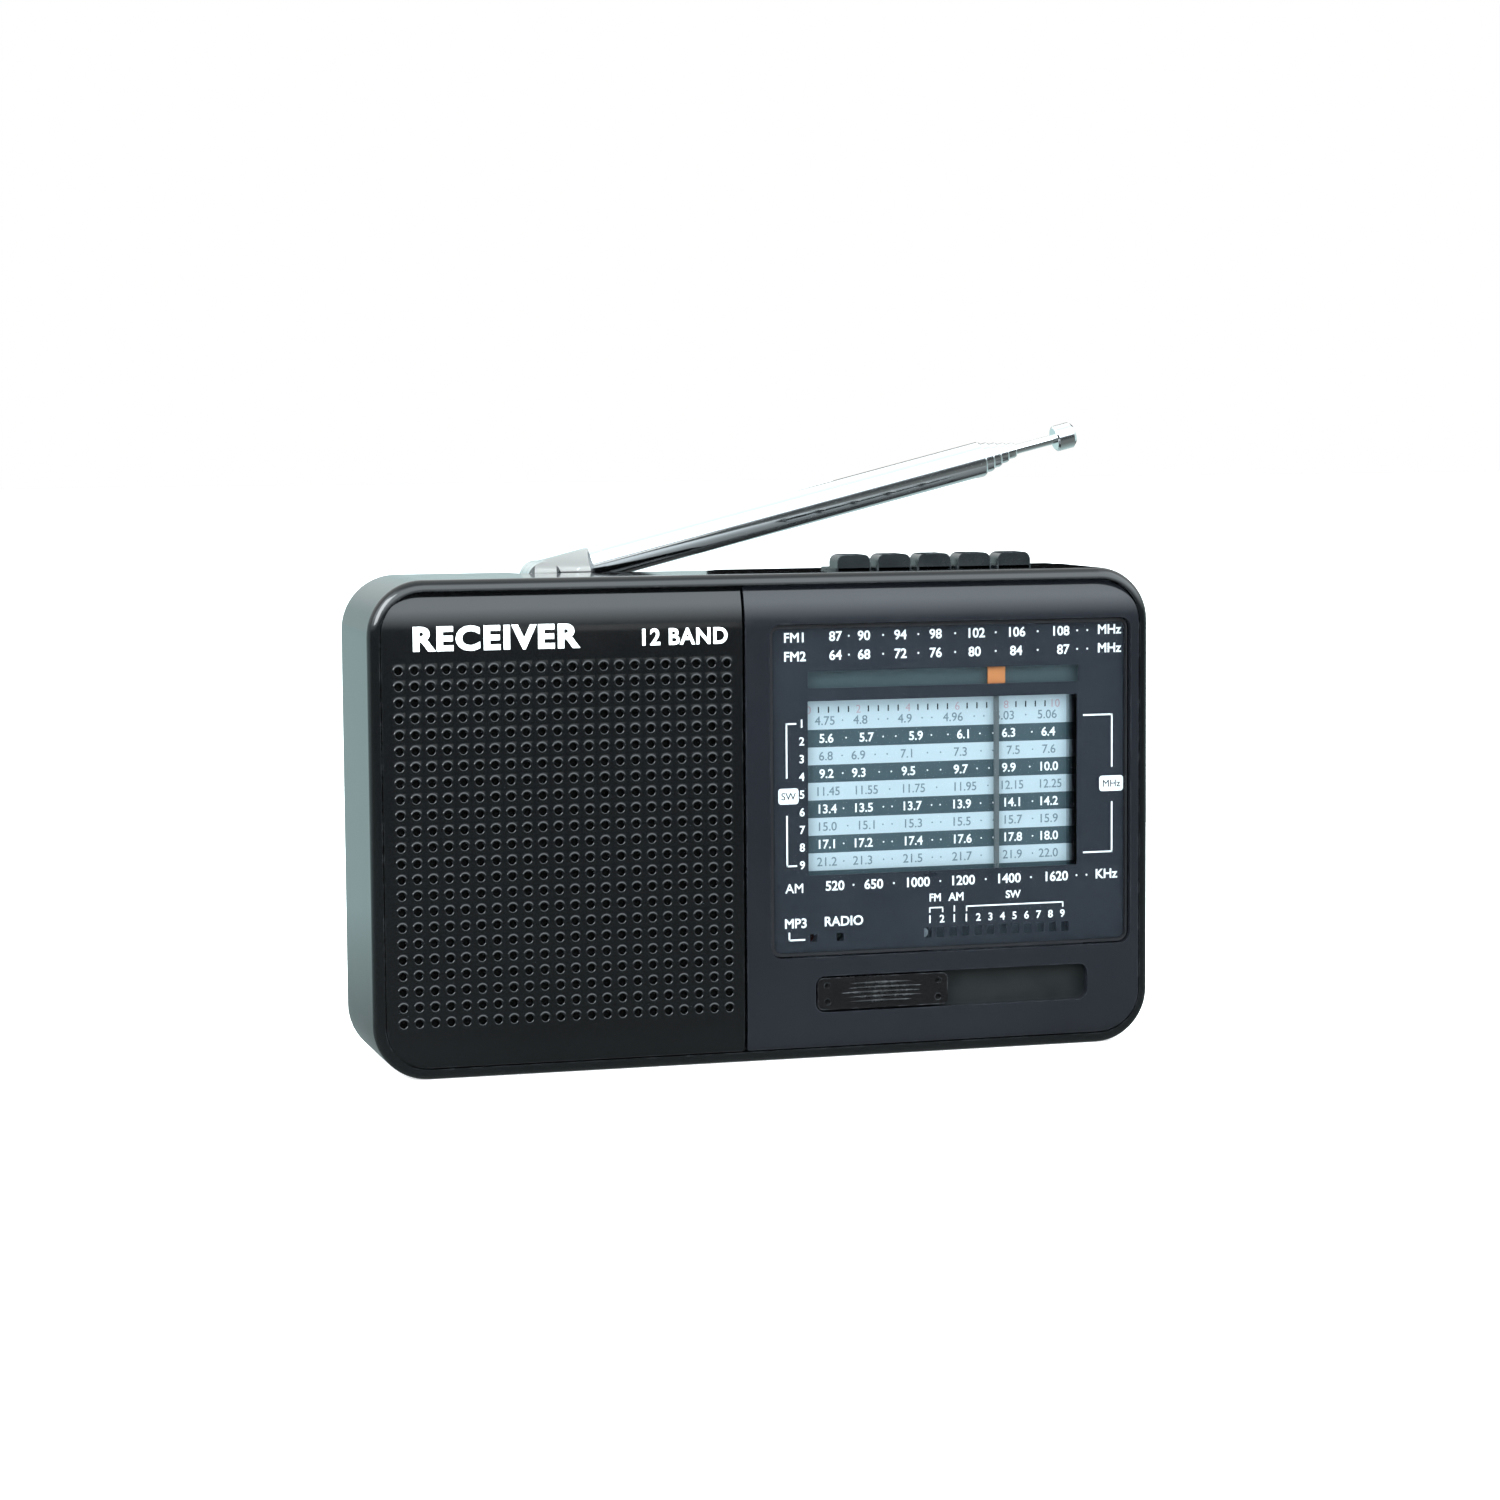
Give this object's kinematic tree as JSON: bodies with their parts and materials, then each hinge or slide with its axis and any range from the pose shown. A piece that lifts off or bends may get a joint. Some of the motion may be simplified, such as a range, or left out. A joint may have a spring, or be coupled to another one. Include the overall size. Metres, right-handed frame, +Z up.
{
  "type": "shortwave receiver",
  "caption": "Pocket multiband receiver with a perforated grille, a sliding-needle tuning dial, a band slider, top keys, side thumbwheels and a telescopic aerial.",
  "frame": {"origin": "centre of the base, on the surface that the receiver stands on", "axes": "+X to the right seen from the front, +Y to the back, +Z up"},
  "size_m": [0.1336, 0.0302, 0.1041],
  "materials": {
    "case_black": "glossy moulded black",
    "panel_black": "glossy black, perforated",
    "bezel_black": "glossy charcoal",
    "cloth": "black speaker cloth",
    "lens": "clear acrylic with a dark printed surround",
    "scale_print": "printed dial scale",
    "tray_plastic": "black moulded plastic",
    "battery_wrap": "shrink-wrapped lithium cell",
    "contact_brass": "bare",
    "pressed_steel": "plated sheet",
    "cone_paper": "pressed paper cone",
    "ferrite": "sintered ferrite",
    "screw_steel": "plated",
    "board_green": "solder mask",
    "capacitor_plastic": "ivory",
    "wheel_plastic": "ribbed black",
    "white_nylon": "moulded nylon",
    "dial_string": "waxed cord",
    "orange_plastic": "orange marker",
    "needle_grey": "grey",
    "slider_plastic": "glossy black with grip ribs",
    "red_lamp": "tinted",
    "green_lamp": "tinted",
    "copper_wire": "enamelled copper winding",
    "socket_plastic": "black",
    "key_plastic": "charcoal keys",
    "chrome": "polished"
  },
  "bodies": {
    "case": {"front_frame": "case_black", "grille_panel": "panel_black", "dust_cloth": "cloth", "dial_bezel": "bezel_black", "dial_lens": "lens", "scale_plate": "scale_print", "dial_tray": "tray_plastic", "rear_shell": "case_black", "battery_pack": "battery_wrap", "battery_contacts": "contact_brass", "speaker_frame": "pressed_steel", "speaker_cone": "cone_paper", "speaker_magnet": "ferrite", "speaker_screws": "screw_steel", "main_board": "board_green", "board_screws": "screw_steel", "tuning_capacitor": "capacitor_plastic", "cord_pulley": "white_nylon", "dial_cord": "dial_string", "pointer_rail": "screw_steel", "volume_control": "tray_plastic", "band_switch": "pressed_steel", "key_board": "board_green", "tact_switches": "tray_plastic", "mp3_lamp": "red_lamp", "radio_lamp": "green_lamp", "ferrite_rod": "ferrite", "ferrite_clips": "white_nylon", "aerial_coil": "copper_wire", "socket_board": "board_green", "earphone_socket": "socket_plastic", "usb_socket": "pressed_steel", "card_socket": "pressed_steel", "case_screws": "screw_steel"},
    "door": {"battery_door": "case_black"},
    "tuning": {"tuning_wheel": "wheel_plastic", "tuning_shaft": "screw_steel"},
    "pointer": {"pointer_carriage": "orange_plastic", "tuning_needle": "needle_grey"},
    "volume": {"volume_wheel": "wheel_plastic", "volume_shaft": "screw_steel"},
    "slider": {"band_slider": "slider_plastic", "band_pointer": "white_nylon"},
    "play_key_cap": {"play_key": "key_plastic"},
    "back_key_cap": {"back_key": "key_plastic"},
    "next_key_cap": {"next_key": "key_plastic"},
    "mode_key_cap": {"mode_key": "key_plastic"},
    "repeat_key_cap": {"repeat_key": "key_plastic"},
    "fork": {"aerial_swivel": "chrome", "aerial_screw": "screw_steel", "hinge_pin": "chrome"},
    "mast_1": {"aerial_tube_1": "chrome"},
    "mast_2": {"aerial_tube_2": "chrome"},
    "mast_3": {"aerial_tube_3": "chrome"},
    "mast_4": {"aerial_tube_4": "chrome"},
    "mast_5": {"aerial_tube_5": "chrome"},
    "mast_tip": {"aerial_rod": "chrome", "aerial_tip": "chrome"}
  },
  "joints": [
    {"name": "door_lift", "type": "slide", "parent": "case", "child": "door", "axis": [0, 1, 0], "range_m": [0, 0.02]},
    {"name": "tuning_turn", "type": "hinge", "parent": "case", "child": "tuning", "pos_m": [0.0526, 0.0035, 0.052], "axis": [0, 1, 0], "range_deg": [-165.5, 60.4]},
    {"name": "pointer_travel", "type": "slide", "parent": "case", "child": "pointer", "axis": [1, 0, 0], "range_m": [-0.0315, 0.0115]},
    {"name": "volume_turn", "type": "hinge", "parent": "case", "child": "volume", "pos_m": [0.0586, 0.003, 0.0265], "axis": [0, 1, 0], "range_deg": [0, 270]},
    {"name": "band_slide", "type": "slide", "parent": "case", "child": "slider", "axis": [1, 0, 0], "range_m": [0, 0.0243]},
    {"name": "play_key_press", "type": "slide", "parent": "case", "child": "play_key_cap", "axis": [0, 0, -1], "range_m": [0, 0.0005], "stiffness_N_per_m": 100, "springref_m": -0.001},
    {"name": "back_key_press", "type": "slide", "parent": "case", "child": "back_key_cap", "axis": [0, 0, -1], "range_m": [0, 0.0005], "stiffness_N_per_m": 100, "springref_m": -0.001},
    {"name": "next_key_press", "type": "slide", "parent": "case", "child": "next_key_cap", "axis": [0, 0, -1], "range_m": [0, 0.0005], "stiffness_N_per_m": 100, "springref_m": -0.001},
    {"name": "mode_key_press", "type": "slide", "parent": "case", "child": "mode_key_cap", "axis": [0, 0, -1], "range_m": [0, 0.0005], "stiffness_N_per_m": 100, "springref_m": -0.001},
    {"name": "repeat_key_press", "type": "slide", "parent": "case", "child": "repeat_key_cap", "axis": [0, 0, -1], "range_m": [0, 0.0005], "stiffness_N_per_m": 100, "springref_m": -0.001},
    {"name": "aerial_swing", "type": "hinge", "parent": "case", "child": "fork", "pos_m": [-0.033, 0.008, 0.079], "axis": [0, 0, 1], "range_deg": [0, 90]},
    {"name": "aerial_tilt", "type": "hinge", "parent": "fork", "child": "mast_1", "pos_m": [-0.033, 0.008, 0.079], "axis": [0, -1, 0], "range_deg": [-13.8, 76.2]},
    {"name": "aerial_pull_1", "type": "slide", "parent": "mast_1", "child": "mast_2", "axis": [0.9711, 0, 0.2385], "range_m": [-0.0013, 0.052]},
    {"name": "aerial_pull_2", "type": "slide", "parent": "mast_2", "child": "mast_3", "axis": [0.9711, 0, 0.2385], "range_m": [-0.0012, 0.052]},
    {"name": "aerial_pull_3", "type": "slide", "parent": "mast_3", "child": "mast_4", "axis": [0.9711, 0, 0.2385], "range_m": [-0.0012, 0.052]},
    {"name": "aerial_pull_4", "type": "slide", "parent": "mast_4", "child": "mast_5", "axis": [0.9711, 0, 0.2385], "range_m": [-0.0013, 0.052]},
    {"name": "aerial_pull_5", "type": "slide", "parent": "mast_5", "child": "mast_tip", "axis": [0.9711, 0, 0.2385], "range_m": [-0.0072, 0.048]}
  ],
  "couplings": [
    {"joint": "pointer_travel", "follows": "tuning_turn", "m_per_rad": 0.0109}
  ]
}
